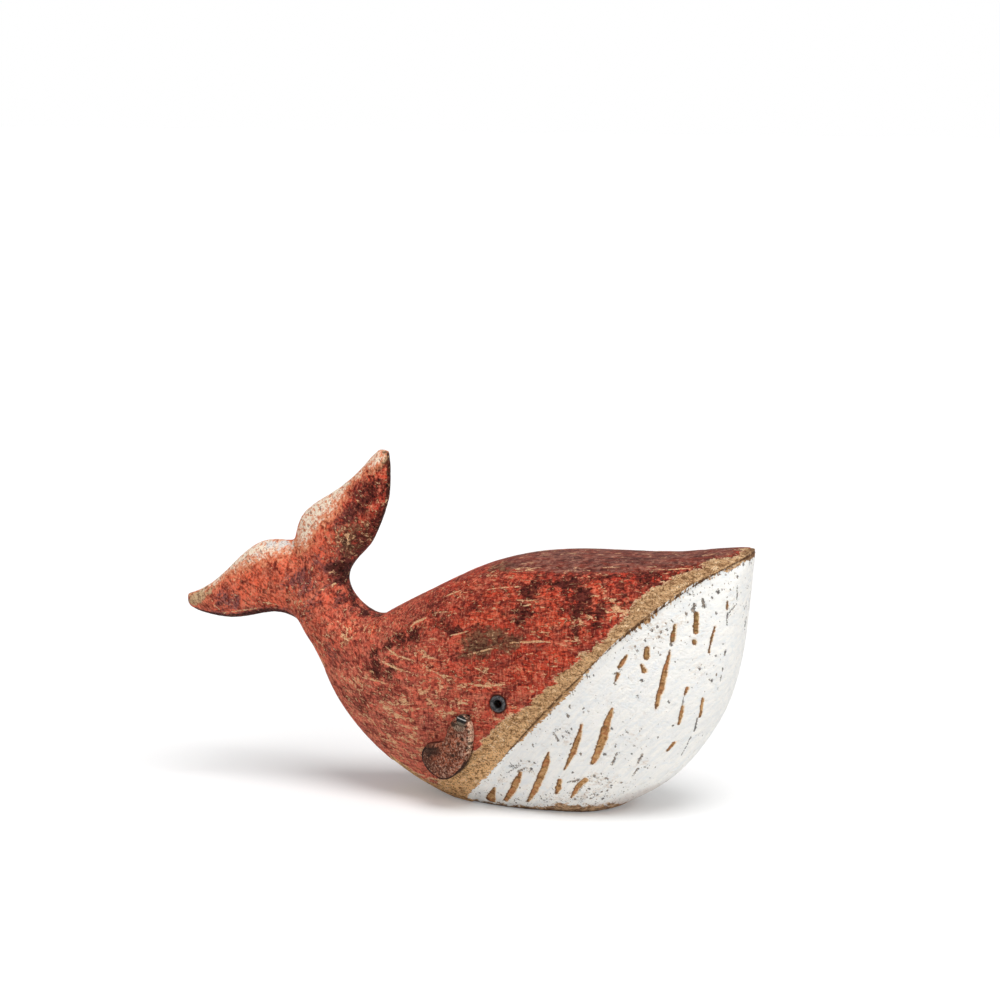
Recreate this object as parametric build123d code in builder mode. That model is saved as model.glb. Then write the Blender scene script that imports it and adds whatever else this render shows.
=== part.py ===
# Carved wooden whale ornament, about 200 mm long, resting on a flat cut under its belly.
# The whale swims towards +X. +Z is up, and the origin lies on the resting face, under the
# middle of the whole figure.
# The body is one block of wood. The tail is a second block, whose grain follows the stock, glued
# to the body over a hidden dowel. Two fins are nailed to the sides, and a small metal eyelet
# makes each eye.

from build123d import *

import os
from math import pi, sin, sqrt

# Driving dimensions of the block, in millimetres
HALF_WIDTH = 31.5  # half the widest breadth of the body
WIDEST_X = 45.8  # where the body is widest
BOW_X = 100.8  # where the breadth runs out at the snout
SEAM_X = -37.2  # middle of the glued seam between body and tail
SEAM_HALF_WIDTH = 14.0  # half the thickness of the wood at the seam
SQUARE_BACK = 0.9  # how square the shoulders of the back are
BASE_CUT = 0.0  # height of the flat cut that the whale rests on
JAW_STEP = 1.1  # how far the scraped jaw lies under the skin above it
RIBS = 13  # cross-sections along the body
ROUND = 0.5523  # handle length that makes a quarter curve an ellipse; more is squarer

# The body's back and belly in side view, from the seam to the snout
BACK = [
    (-27.2, 60.8),
    (-10.7, 69.9),
    (15.8, 81.8),
    (43.8, 85.1),
    (75.8, 86.5),
    (91.5, 88.8),
    (100.0, 89.5),
]
BELLY = [
    (-48.6, 39.8),
    (-39.1, 24.1),
    (-11.0, 2.7),
    (33.8, -6.5),
    (71.2, 6.2),
    (91.1, 31.5),
    (98.4, 62),
    (100.2, 84),
]

# Control points of the mouth line in side view, a long curve from the snout to the belly
MOUTH = [(101.5, 88.2), (69.1, 73.2), (32.0, 30.8), (9.7, 2.4)]
MOUTH_FOOT = (4.7, -4.0)  # where the line leaves the wood underneath

# Sections of the stock and the upper fluke in side view: rear point, front point, half thickness
STOCK = [
    ((-54.0, 49.8), (-36.0, 63.2), 12.8),
    ((-59.2, 58.2), (-40.5, 69.3), 11.3),
    ((-62.0, 67.5), (-40.1, 74.5), 10.2),
    ((-61.6, 77.0), (-36.5, 79.4), 9.6),
    ((-59.6, 86.0), (-32.3, 84.0), 9.0),
    ((-56.6, 93.4), (-29.5, 89.5), 8.3),
    ((-50.0, 98.9), (-27.1, 95.3), 7.3),
    ((-40.6, 105.2), (-25.4, 102.0), 5.8),
    ((-33.3, 112.6), (-25.1, 110.2), 4.0),
    ((-29.0, 116.7), (-25.7, 115.9), 2.0),
]

# Sections of the lower fluke in side view: under side, upper side, half thickness
LOWER_FLUKE = [
    ((-48.7, 56.0), (-51.2, 79.5), 8.6),
    ((-60.3, 56.9), (-61.3, 84.0), 8.4),
    ((-69.6, 58.1), (-71.4, 83.2), 7.8),
    ((-80.8, 55.7), (-82.0, 75.8), 6.6),
    ((-90.2, 56.0), (-91.2, 67.5), 5.0),
    ((-95.7, 57.2), (-96.7, 64.6), 3.6),
    ((-99.3, 58.8), (-100.1, 63.2), 1.9),
]

# Dowel between body and tail
DOWEL_DIAMETER = 8.0
DOWEL_LENGTH = 36.0
DOWEL_END_GAP = 1.0  # empty bore left beyond each end

# Eyelets, each pressed into a drilled socket with a flat seat for its rim
EYE = (22.5, -29.6, 38.8)  # middle of the seat on the whale's right side
EYE_FACING = (-0.13, -0.99, 0.0)
EYELET_RIM = 5.6  # diameter of the rim
EYELET_BARREL = 3.6  # diameter of the barrel in the wood
EYELET_HOLE = 2.8
EYELET_DOME = 0.7  # how far the rolled rim stands up
EYELET_DEPTH = 4.0  # how far the barrel reaches into the wood
SOCKET_DEPTH = 5.0
SEAT_CLEARANCE = 0.1  # gap round the rim in its seat

# Side fins, the outline of the right one in side view
FIN_OUTLINE = [
    (10.6, 34.2),
    (12.9, 32.4),
    (13.8, 29.2),
    (13.4, 25.0),
    (11.9, 20.3),
    (9.8, 16.2),
    (6.4, 12.7),
    (2.2, 10.4),
    (-2.4, 11.7),
    (-5.4, 15.6),
    (-5.5, 19.6),
    (-3.2, 22.2),
    (0.6, 23.1),
    (3.7, 25.6),
    (5.1, 29.2),
    (7.6, 33.0),
]
FIN_THICKNESS = 4.2
FIN_EDGE = 1.3  # rounding of the fin's outer edge

# Tacks that hold the fins
TACK = (10.6, -31.4, 32.9)  # middle of the head's underside on the whale's right side
TACK_FACING = (-0.19, -0.975, -0.09)
TACK_HEAD = 3.8  # diameter of the domed head
TACK_DOME = 1.0
TACK_SHANK = 1.2
TACK_LENGTH = 12.0
TACK_POINT = 2.0  # length of the point


def profile_curve(points):
    """A smooth curve through points of the side view."""
    return Spline(*[(x, 0, z) for x, z in points])


def half_breadth(x):
    """Half the body's breadth at x: it swells from the seam, then rounds off at the bow."""
    if x < WIDEST_X:
        swell = sin(pi / 2 * (x - SEAM_X) / (WIDEST_X - SEAM_X))
        return SEAM_HALF_WIDTH + (HALF_WIDTH - SEAM_HALF_WIDTH) * swell
    return HALF_WIDTH * sqrt(1 - ((x - WIDEST_X) / (BOW_X - WIDEST_X)) ** 2)


def rib(top, bottom, half_width, crown=ROUND, keel=ROUND, belt=0.5):
    """One cross-section of carved wood, standing on the side view's line from bottom to top.

    Crown and keel say how square its upper and lower halves are, and belt how high its widest
    line lies, as a share of its height.
    """
    across = top - bottom
    up = across.normalized()
    height = across.length
    waist = height * belt
    with BuildSketch(Plane(bottom, x_dir=(0, 1, 0), z_dir=(up.Z, 0, -up.X))) as section:
        with BuildLine():
            Bezier(
                (0, 0),
                (half_width * keel, 0),
                (half_width, waist * (1 - keel)),
                (half_width, waist),
            )
            Bezier(
                (half_width, waist),
                (half_width, waist + (height - waist) * crown),
                (half_width * crown, height),
                (0, height),
            )
            mirror(about=Plane.YZ)
        make_face()
    return section.sketch


def hull_ribs(shrink=0.0):
    """The body's cross-sections from seam to snout, taken in all round by shrink."""
    back = profile_curve(BACK)
    belly = profile_curve(BELLY)
    ribs = []
    for index in range(RIBS):
        share = sin(pi / 2 * index / (RIBS - 1))
        top = back @ share
        bottom = belly @ share
        width = half_breadth((top.X + bottom.X) / 2)
        inward = (top - bottom).normalized() * shrink
        crown = ROUND + (SQUARE_BACK - ROUND) * sin(pi / 2 * min(1, share * 1.6))
        ribs.append(rib(top, bottom + inward, width - shrink, crown=crown, keel=0.58, belt=0.5))
    return ribs


def side_rib(rear, front, half_width):
    """A section of the tail between two points of the side view."""
    return rib(Vector(front[0], 0, front[1]), Vector(rear[0], 0, rear[1]), half_width)


def below_mouth():
    """A face beside the whale that covers all below the mouth line in side view."""
    with BuildSketch(Plane.XZ.offset(60)) as side_view:
        with BuildLine():
            Bezier(*MOUTH)
            Polyline(MOUTH[-1], MOUTH_FOOT, (4.7, -20), (130, -20), (130, MOUTH[0][1]), MOUTH[0])
        make_face()
    return side_view.sketch


# Seam between body and tail, and the dowel's axis square to it through its middle
seam_top = Vector(BACK[0][0], 0, BACK[0][1])
seam_bottom = Vector(BELLY[0][0], 0, BELLY[0][1])
seam_up = (seam_top - seam_bottom).normalized()
seam_plane = Plane((seam_top + seam_bottom) / 2, x_dir=(0, 1, 0), z_dir=(seam_up.Z, 0, -seam_up.X))

# Planes of the right eyelet's seat and of the right tack's head
eye_plane = Plane(EYE, x_dir=(0, 0, 1), z_dir=EYE_FACING)
tack_plane = Plane(TACK, x_dir=(-0.19, 0, 1), z_dir=TACK_FACING)

# Hull at full size, and the same form taken in and cut away above the mouth line
with BuildPart() as hull:
    add(hull_ribs())
    loft()
with BuildPart() as jaw:
    add(hull_ribs(shrink=JAW_STEP))
    loft()
    add(below_mouth())
    extrude(amount=120, dir=(0, 1, 0), mode=Mode.INTERSECT)

# Tack, with a domed head and a pointed shank, and the same on the other side
with BuildPart() as fin_nail_right:
    with BuildSketch(tack_plane):
        Circle(TACK_HEAD / 2)
    extrude(amount=TACK_DOME)
    fillet(fin_nail_right.edges().sort_by(Axis.Y)[0], TACK_DOME * 0.9)
    with BuildSketch(tack_plane):
        Circle(TACK_SHANK / 2)
    extrude(amount=TACK_POINT - TACK_LENGTH)
    with BuildSketch(tack_plane.offset(TACK_POINT - TACK_LENGTH)):
        Circle(TACK_SHANK / 2)
    with BuildSketch(tack_plane.offset(-TACK_LENGTH)):
        Circle(TACK_SHANK / 10)
    loft()
fin_nail_right.part.label = "fin_nail_right"
with BuildPart() as fin_nail_left:
    add(fin_nail_right.part)
    mirror(about=Plane.XZ, mode=Mode.REPLACE)
fin_nail_left.part.label = "fin_nail_left"

# Fin, carved hollow at the back to lie against the hull, with a flat for the tack's head
with BuildPart() as fin_right:
    add(hull_ribs(shrink=-FIN_THICKNESS))
    loft()
    with BuildSketch(Plane.XZ):
        with BuildLine():
            Spline(*FIN_OUTLINE, periodic=True)
        make_face()
    extrude(amount=60, mode=Mode.INTERSECT)
    add(hull.part, mode=Mode.SUBTRACT)
    fillet(fin_right.faces().sort_by(Axis.Y)[0].edges(), FIN_EDGE)
    with BuildSketch(tack_plane):
        Circle(TACK_HEAD / 2)
    extrude(amount=5, mode=Mode.SUBTRACT)
    add(fin_nail_right.part, mode=Mode.SUBTRACT)
fin_right.part.label = "fin_right"
with BuildPart() as fin_left:
    add(fin_right.part)
    mirror(about=Plane.XZ, mode=Mode.REPLACE)
fin_left.part.label = "fin_left"

# Eyelet, a barrel with a rolled rim
with BuildPart() as eye_right:
    with BuildSketch(eye_plane):
        Circle(EYELET_RIM / 2)
        Circle(EYELET_HOLE / 2, mode=Mode.SUBTRACT)
    extrude(amount=EYELET_DOME)
    fillet(eye_right.faces().sort_by(Axis.Y)[0].edges(), EYELET_DOME * 0.9)
    with BuildSketch(eye_plane):
        Circle(EYELET_BARREL / 2)
        Circle(EYELET_HOLE / 2, mode=Mode.SUBTRACT)
    extrude(amount=-EYELET_DEPTH)
eye_right.part.label = "eye_right"
with BuildPart() as eye_left:
    add(eye_right.part)
    mirror(about=Plane.XZ, mode=Mode.REPLACE)
eye_left.part.label = "eye_left"

# One eye's socket in the body, with the seat of the rim
with BuildPart() as socket:
    with BuildSketch(eye_plane):
        Circle(EYELET_RIM / 2 + SEAT_CLEARANCE)
    extrude(amount=5)
    with BuildSketch(eye_plane):
        Circle(EYELET_BARREL / 2)
    extrude(amount=-SOCKET_DEPTH)

# Body block: skin at full size above the mouth line, scraped jaw below it, flat cut underneath
with BuildPart() as body:
    add(hull.part)
    add(below_mouth())
    extrude(amount=120, dir=(0, 1, 0), mode=Mode.SUBTRACT)
    add(jaw.part)
    with BuildSketch(Plane.XY.offset(BASE_CUT)):
        Rectangle(300, 200)
    extrude(amount=-50, mode=Mode.SUBTRACT)
    with BuildSketch(seam_plane):
        Circle(DOWEL_DIAMETER / 2)
    extrude(amount=DOWEL_LENGTH / 2 + DOWEL_END_GAP, mode=Mode.SUBTRACT)
    for cutter in (socket.part, fin_nail_right.part):
        add(cutter, mode=Mode.SUBTRACT)
        add(mirror(cutter, about=Plane.XZ, mode=Mode.PRIVATE), mode=Mode.SUBTRACT)
body.part.label = "body"

# Stock of the tail, which runs on into the upper fluke
with BuildPart() as stock:
    add(rib(seam_top, seam_bottom, SEAM_HALF_WIDTH, keel=0.58))
    for rear, front, half_width in STOCK:
        add(side_rib(rear, front, half_width))
    loft()

# Tail block: the lower fluke grows out of the stock
with BuildPart() as tail:
    for under, upper, half_width in LOWER_FLUKE:
        add(side_rib(under, upper, half_width))
    loft()
    add(stock.part)
    with BuildSketch(seam_plane):
        Circle(DOWEL_DIAMETER / 2)
    extrude(amount=-(DOWEL_LENGTH / 2 + DOWEL_END_GAP), mode=Mode.SUBTRACT)
tail.part.label = "tail"

# Dowel hidden in the bores of body and tail
with BuildPart() as tail_dowel:
    with BuildSketch(seam_plane):
        Circle(DOWEL_DIAMETER / 2)
    extrude(amount=DOWEL_LENGTH / 2, both=True)
    chamfer(tail_dowel.edges().filter_by(GeomType.CIRCLE), 0.8)
tail_dowel.part.label = "tail_dowel"

os.makedirs("parts", exist_ok=True)
export_step(body.part, "parts/body.step")
export_step(tail.part, "parts/tail.step")
export_step(tail_dowel.part, "parts/tail_dowel.step")
export_step(fin_right.part, "parts/fin_right.step")
export_step(fin_left.part, "parts/fin_left.step")
export_step(fin_nail_right.part, "parts/fin_nail_right.step")
export_step(fin_nail_left.part, "parts/fin_nail_left.step")
export_step(eye_right.part, "parts/eye_right.step")
export_step(eye_left.part, "parts/eye_left.step")
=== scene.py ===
import math
import random

import bpy
import bmesh
import numpy as np
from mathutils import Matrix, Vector
from mathutils.bvhtree import BVHTree


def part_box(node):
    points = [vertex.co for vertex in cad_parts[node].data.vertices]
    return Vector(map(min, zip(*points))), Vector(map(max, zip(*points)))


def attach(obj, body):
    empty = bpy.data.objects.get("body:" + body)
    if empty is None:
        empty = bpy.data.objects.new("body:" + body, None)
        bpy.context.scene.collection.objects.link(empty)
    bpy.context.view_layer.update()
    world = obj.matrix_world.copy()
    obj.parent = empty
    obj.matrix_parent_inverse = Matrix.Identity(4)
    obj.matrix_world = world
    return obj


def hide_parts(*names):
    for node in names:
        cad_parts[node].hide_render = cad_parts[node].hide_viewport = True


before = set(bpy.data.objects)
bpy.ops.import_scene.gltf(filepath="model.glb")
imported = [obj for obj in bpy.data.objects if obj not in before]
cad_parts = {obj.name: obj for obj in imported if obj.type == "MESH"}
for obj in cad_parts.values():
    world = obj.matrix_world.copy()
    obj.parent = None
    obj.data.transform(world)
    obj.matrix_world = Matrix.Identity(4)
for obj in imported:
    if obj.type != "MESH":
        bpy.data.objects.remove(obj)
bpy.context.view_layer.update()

MM = 0.001

# Camera, at the photograph's viewing angle
AZIMUTH = math.radians(18)
ELEVATION = math.radians(9)
AIM = Vector((0.0136, 0, 0.1013))
DISTANCE = 1
LENS = 108
SENSOR = 36
PHOTO_WIDTH = 1000
FOCAL_PX = PHOTO_WIDTH * LENS / SENSOR
PX_PER_MM = 3

toward = Vector((
    math.sin(AZIMUTH) * math.cos(ELEVATION),
    -math.cos(AZIMUTH) * math.cos(ELEVATION),
    math.sin(ELEVATION),
))
right = Vector((math.cos(AZIMUTH), math.sin(AZIMUTH), 0))
upward = toward.cross(right)
eye_point = AIM + toward * DISTANCE

camera_data = bpy.data.cameras.new("camera")
camera_data.lens = LENS
camera_data.sensor_width = SENSOR
camera_data.clip_start = 0.05
camera_data.clip_end = 50
camera = bpy.data.objects.new("camera", camera_data)
camera.location = eye_point
camera.rotation_euler = toward.to_track_quat("Z", "Y").to_euler()
bpy.context.scene.collection.objects.link(camera)
bpy.context.scene.camera = camera


def pixel_ray(x, y):
    """Direction from the camera through a pixel of the photograph."""
    middle = PHOTO_WIDTH / 2
    return (right * (x - middle) / FOCAL_PX - upward * (y - middle) / FOCAL_PX - toward).normalized()


# Noise that shapes the wood and the worn paint


def lattice(ix, iy, iz, seed):
    """Repeatable random numbers from 0 to 1 on whole coordinates."""
    h = (ix * 374761393 + iy * 668265263 + iz * 1442695041 + seed * 1274126177) & 0xFFFFFFFF
    h = ((h ^ (h >> 13)) * 1274126177) & 0xFFFFFFFF
    h = ((h ^ (h >> 15)) * 2246822519) & 0xFFFFFFFF
    return ((h ^ (h >> 16)) & 0xFFFF) / 65535.0


def smooth_noise(p, seed):
    """Noise from 0 to 1 at points p, one random value per unit of space."""
    base = np.floor(p).astype(np.int64)
    f = p - base
    f = f * f * (3 - 2 * f)
    total = 0
    for corner in range(8):
        step = np.array([corner & 1, corner >> 1 & 1, corner >> 2])
        share = np.where(step, f, 1 - f)
        weight = share[:, 0] * share[:, 1] * share[:, 2]
        total = total + weight * lattice(*(base + step).T, seed)
    return total


def fractal(p, size, seed, octaves=3):
    """Layered noise from 0 to 1 whose largest features are size across, one number or one per axis."""
    q = p / np.array(size, float)
    total, weight, scale = 0, 0.0, 1.0
    for octave in range(octaves):
        total = total + smooth_noise(q * 2**octave + 17.3 * octave, seed + octave) * scale
        weight += scale
        scale *= 0.5
    return total / weight


def ramp(v, lo, hi):
    """Smooth step from 0 at lo to 1 at hi."""
    t = np.clip((v - lo) / (hi - lo), 0, 1)
    return t * t * (3 - 2 * t)


# Forms from the CAD nodes


def merged(node):
    """A closed copy of a CAD node's mesh, its faces joined along their edges."""
    bm = bmesh.new()
    bm.from_mesh(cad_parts[node].data)
    bmesh.ops.remove_doubles(bm, verts=bm.verts, dist=1e-6)
    return bm


def tree_of(node):
    bm = merged(node)
    tree = BVHTree.FromBMesh(bm)
    bm.free()
    return tree


def object_from(bm, name):
    mesh = bpy.data.meshes.new(name)
    bm.to_mesh(mesh)
    bm.free()
    obj = bpy.data.objects.new(name, mesh)
    bpy.context.scene.collection.objects.link(obj)
    return obj


def remeshed(name, bm, voxel):
    """An even, fine mesh of a closed form, ready to be carved."""
    obj = object_from(bm, name)
    remesh = obj.modifiers.new("remesh", "REMESH")
    remesh.mode = "VOXEL"
    remesh.voxel_size = voxel * MM
    remesh.use_smooth_shade = True
    fine = bpy.data.meshes.new_from_object(obj.evaluated_get(bpy.context.evaluated_depsgraph_get()))
    obj.modifiers.clear()
    obj.data = fine
    fine.materials.clear()
    fine.polygons.foreach_set("use_smooth", np.ones(len(fine.polygons), bool))
    return obj


# Seam between body and tail, as in the CAD source, with its normal towards the body
SEAM_TOP = Vector((-27.2, 0, 60.8)) * MM
SEAM_BOTTOM = Vector((-48.6, 0, 39.8)) * MM
seam_middle = (SEAM_TOP + SEAM_BOTTOM) / 2
seam_rise = (SEAM_TOP - SEAM_BOTTOM).normalized()
seam_normal = Vector((seam_rise.z, 0, -seam_rise.x))

# The tail's end is tucked into the body by this much in mm, and made smaller, so that the two fuse
TUCK = 2
TUCKED_SIZE = 0.97
SEAM_TOLERANCE = 2e-5


def whole_block():
    """Body, tail and dowel as one form, so that the paint and the tool marks run over the seam."""
    bm = merged("tail")
    for vert in bm.verts:
        gap = vert.co - seam_middle
        if abs(gap.dot(seam_normal)) < SEAM_TOLERANCE:
            vert.co = seam_middle + gap * TUCKED_SIZE + seam_normal * TUCK * MM
    for node in ("body", "tail_dowel"):
        part = merged(node)
        copy = bpy.data.meshes.new(node)
        part.to_mesh(copy)
        part.free()
        bm.from_mesh(copy)
        bpy.data.meshes.remove(copy)
    return bm


def cut_at_seam(whole, name, sign):
    """One side of the carved block as a piece of its own, closed at the seam."""
    bm = bmesh.new()
    bm.from_mesh(whole.data)
    other = [f for f in bm.faces if (f.calc_center_median() - seam_middle).dot(seam_normal) * sign < 0]
    bmesh.ops.delete(bm, geom=other, context="FACES")
    rim = [e for e in bm.edges if e.is_boundary]
    for face in bmesh.ops.holes_fill(bm, edges=rim, sides=0)["faces"]:
        face.smooth = False
    return object_from(bm, name)


def softened(co, edges, where, rounds, pace=0.6):
    """Moves points towards the middle of their neighbours, as much as where says."""
    keep = where[edges].max(1) > 0
    a, b = edges[keep].T
    count = np.bincount(a, minlength=len(co)) + np.bincount(b, minlength=len(co))
    count = np.maximum(count, 1)[:, None]
    touched = (where > 0)[:, None]
    for _ in range(rounds):
        near = [np.bincount(a, co[b, k], len(co)) + np.bincount(b, co[a, k], len(co)) for k in range(3)]
        co = np.where(touched, co + (np.stack(near, 1) / count - co) * where[:, None] * pace, co)
    return co


# Meshes as arrays of millimetres


def read_vectors(items, name):
    values = np.empty(len(items) * 3)
    items.foreach_get(name, values)
    return values.reshape(-1, 3)


def coordinates(obj):
    return read_vectors(obj.data.vertices, "co") / MM


def normals(obj):
    return read_vectors(obj.data.vertex_normals, "vector")


def write_coordinates(obj, co):
    obj.data.vertices.foreach_set("co", (co * MM).ravel())
    obj.data.update()


def write_attributes(obj, fields):
    """Gives each point of a mesh the numbers or vectors of its fields, which its material reads."""
    for name, values in fields.items():
        kind, key = ("FLOAT_VECTOR", "vector") if values.ndim == 2 else ("FLOAT", "value")
        attribute = obj.data.attributes.new(name, kind, "POINT")
        attribute.data.foreach_set(key, values.astype(np.float32).ravel())


# Lines of the side view, which are given as x and z


def side_view(co):
    return co[:, [0, 2]]


def curve_points(controls, count=400):
    """Points along a cubic curve given by four control points."""
    t = np.linspace(0, 1, count)[:, None]
    a, b, c, d = [np.array(q, float) for q in controls]
    return a * (1 - t) ** 3 + 3 * b * t * (1 - t) ** 2 + 3 * c * t * t * (1 - t) + d * t**3


def run_length(line):
    """Distance along a line at each of its points."""
    return np.concatenate([[0], np.cumsum(np.linalg.norm(np.diff(line, axis=0), axis=1))])


def smooth_line(points, count=500, share=22):
    """A smooth line through points: a dense polyline, averaged over 1 / share of its length each way."""
    p = np.array(points, float)
    length = run_length(p)
    s = np.linspace(0, length[-1], count)
    line = np.stack([np.interp(s, length, p[:, 0]), np.interp(s, length, p[:, 1])], 1)
    width = count // share
    padded = np.concatenate([np.repeat(line[:1], width, 0), line, np.repeat(line[-1:], width, 0)])
    kernel = np.hanning(2 * width + 1)
    kernel /= kernel.sum()
    return np.stack([np.convolve(padded[:, k], kernel, "valid") for k in (0, 1)], 1)


def drawn_on(line, stride, before, after, pace):
    """A line carried straight on by some points before and after it, pace strides apart."""
    head = line[0] + (line[0] - line[stride]) * np.arange(before, 0, -1)[:, None] * pace
    foot = line[-1] + (line[-1] - line[-stride]) * np.arange(1, after + 1)[:, None] * pace
    return np.concatenate([head, line, foot])


def along_and_off(co, line, batch=20000):
    """Arc length along a line of the side view, and signed distance to its left, for each point."""
    xz = side_view(co)
    step = np.gradient(line, axis=0)
    step /= np.linalg.norm(step, axis=1)[:, None]
    length = run_length(line)
    along = np.empty(len(xz))
    off = np.empty(len(xz))
    for start in range(0, len(xz), batch):
        part = xz[start : start + batch]
        near = ((part[:, None, :] - line[None]) ** 2).sum(2).argmin(1)
        gap = part - line[near]
        t = step[near]
        along[start : start + batch] = length[near] + (gap * t).sum(1)
        off[start : start + batch] = t[:, 0] * gap[:, 1] - t[:, 1] * gap[:, 0]
    return along, off


# The mouth line, as in the CAD source, drawn on past both ends
MOUTH = [(101.5, 88.2), (69.1, 73.2), (32.0, 30.8), (9.7, 2.4)]
mouth_line = drawn_on(curve_points(MOUTH), stride=6, before=6, after=7, pace=0.5)

# The line that the wood's grain and the brush follow, from the snout along the body and up the tail
GRAIN = [
    (130, 47), (60, 46), (20, 43), (-10, 40), (-25, 43), (-38, 51),
    (-46, 61), (-50, 73), (-49, 85), (-42, 99), (-28, 117), (-18, 130),
]
grain_line = smooth_line(GRAIN)


def grain_coordinates(co):
    """Millimetres along the grain, across it and through the wood.

    On the body the grain bends with the form. On the tail it is straight, and the flakes are rounder.
    """
    middle = np.array(seam_middle)[None] / MM
    (start,), (middle_off,) = along_and_off(middle, grain_line)
    along, off = along_and_off(co, grain_line)
    gap = side_view(co) - side_view(middle)
    tailward = -gap @ np.array([seam_normal.x, seam_normal.z])
    across = gap @ np.array([-seam_rise.x, -seam_rise.z])
    share = ramp(tailward, 0, 22)
    along += share * (start + 1.3 * tailward - along)
    off += share * (middle_off + 0.8 * across - off)
    return np.stack([along, off, co[:, 1]], 1)


# Marks placed from the photograph

body_tree = tree_of("body")
tail_tree = tree_of("tail")


def snapped(p):
    """The nearest point of the body or tail to p, in mm."""
    found = [tree.find_nearest(Vector(p) * MM) for tree in (body_tree, tail_tree)]
    return np.array(min(found, key=lambda f: f[3])[0]) / MM


def on_wood(x, y):
    """The point in mm where a pixel's ray meets the wood.

    For a ray that misses, it is the wood nearest to where the ray crosses the middle plane.
    """
    ray = pixel_ray(x, y)
    hits = [tree.ray_cast(eye_point, ray) for tree in (body_tree, tail_tree)]
    hits = [h for h in hits if h[0]]
    if hits:
        return np.array(min(hits, key=lambda h: h[3])[0]) / MM
    return snapped((eye_point - ray * eye_point.y / ray.y) / MM)


def other_side(point, shift):
    """The mark's place on the whale's left side, moved a little so the sides aren't alike."""
    return snapped((point[0] + shift[0], -point[1], point[2] + shift[1]))


def marks(strokes, seed, drop=0.15, shift=3.0):
    """Strokes of pixels as lines of points in mm with a half width at each, on both sides.

    A stroke has one width at its end and then tapers, or a width with each of its pixels. On the
    whale's left side a share of them, drop, is left out, and the rest are moved by up to shift mm.
    """
    rng = random.Random(seed)
    placed = []
    for stroke in strokes:
        tapers = not isinstance(stroke[-1], tuple)
        pixels = stroke[:-1] if tapers else stroke
        line = np.array([on_wood(*pixel[:2]) for pixel in pixels])
        half = np.array([(stroke[-1] if tapers else pixel[2]) / (2 * PX_PER_MM) for pixel in pixels])
        placed.append((line, half, tapers))
        move = (rng.uniform(-shift, shift), rng.uniform(-shift, shift))
        if rng.random() > drop:
            far = np.array([other_side(point, move) for point in line])
            placed.append((far, half * rng.uniform(0.7, 1.1), tapers))
    return placed


def distance_to_marks(co, placed, reach=4.0, ragged=0.35, seed=5, taper=0.45):
    """Signed distance in mm to the nearest mark, negative inside."""
    field = np.full(len(co), reach, float)
    wobble = (fractal(co, 2.2, seed, 3) - 0.5) * 2 * ragged
    for line, half, tapers in placed:
        lo, hi = line.min(0) - reach - half.max(), line.max(0) + reach + half.max()
        near = np.flatnonzero(((co > lo) & (co < hi)).all(1))
        if not len(near):
            continue
        p = co[near]
        if len(line) == 1:
            line = np.repeat(line, 2, 0) + [[-0.1, 0, 0.15], [0.1, 0, -0.15]]
            half = np.repeat(half, 2)
        length = run_length(line)
        best = np.full(len(near), reach, float)
        for k, size in enumerate(np.diff(length)):
            a, b = line[k], line[k + 1]
            t = np.clip(((p - a) @ (b - a)) / max(size * size, 1e-9), 0, 1)
            girth = half[k] + t * (half[k + 1] - half[k])
            if tapers:
                share = np.clip((length[k] + t * size) / length[-1], 0.02, 0.98)
                girth = girth * np.sin(np.pi * share) ** taper
            best = np.minimum(best, np.linalg.norm(p - a - t[:, None] * (b - a), axis=1) - girth)
        field[near] = np.minimum(field[near], best + wobble[near] * min(0.8, half.max()))
    return field


# Chisel marks in the white throat that bare the wood: pixels, each with the width there
GOUGES = [
    [(581, 725, 2.5), (578, 738, 5), (573, 752, 6), (568, 762, 3), (564, 770, 1.5)],
    [(612, 709, 2.5), (607, 722, 6), (603, 738, 9), (597, 754, 7), (592.5, 764, 5)],
    [(548, 753, 2), (546.5, 761, 5.5), (541, 776, 7), (534, 791, 6), (527.5, 802, 2.5)],
    [(520, 773, 3), (517, 781, 6.5), (511, 792, 7), (505, 801, 4)],
    [(494.5, 788, 2), (492, 794, 6), (490, 800, 11)],
    [(559.5, 781, 4.5), (558, 788, 6), (556, 794, 3)],
    [(585, 781, 6), (577, 788, 5.5), (571, 798, 2)],
    [(670, 651, 2), (667.5, 661, 4), (664, 675, 5), (661, 689, 5.5), (658.5, 696, 4.5), (656, 709, 3)],
    [(674.5, 626, 3.5), (672.5, 640, 5)], [(696, 614, 4.5), (695.5, 632, 5)], [(694.5, 642.5, 4.5)],
    [(715, 627, 2), (711.7, 640, 2.8), (709, 653, 1.8)], [(646.5, 649, 5.5), (646, 657, 6)],
    [(641, 665.5, 3), (643.5, 671, 5)], [(626.5, 656, 2.5), (622, 663, 5), (619, 667, 3)],
    [(617.5, 675, 4), (615.5, 681, 2)], [(687, 689, 4), (685, 695, 2)],
    [(682.5, 708, 3.5), (681, 717, 4), (679, 726, 3)], [(703, 700, 3), (700.5, 718, 3.5)],
    [(674, 747.5, 4), (668, 755, 3)], [(727.5, 602, 2.2), (727.5, 609, 2.5)],
]

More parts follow.
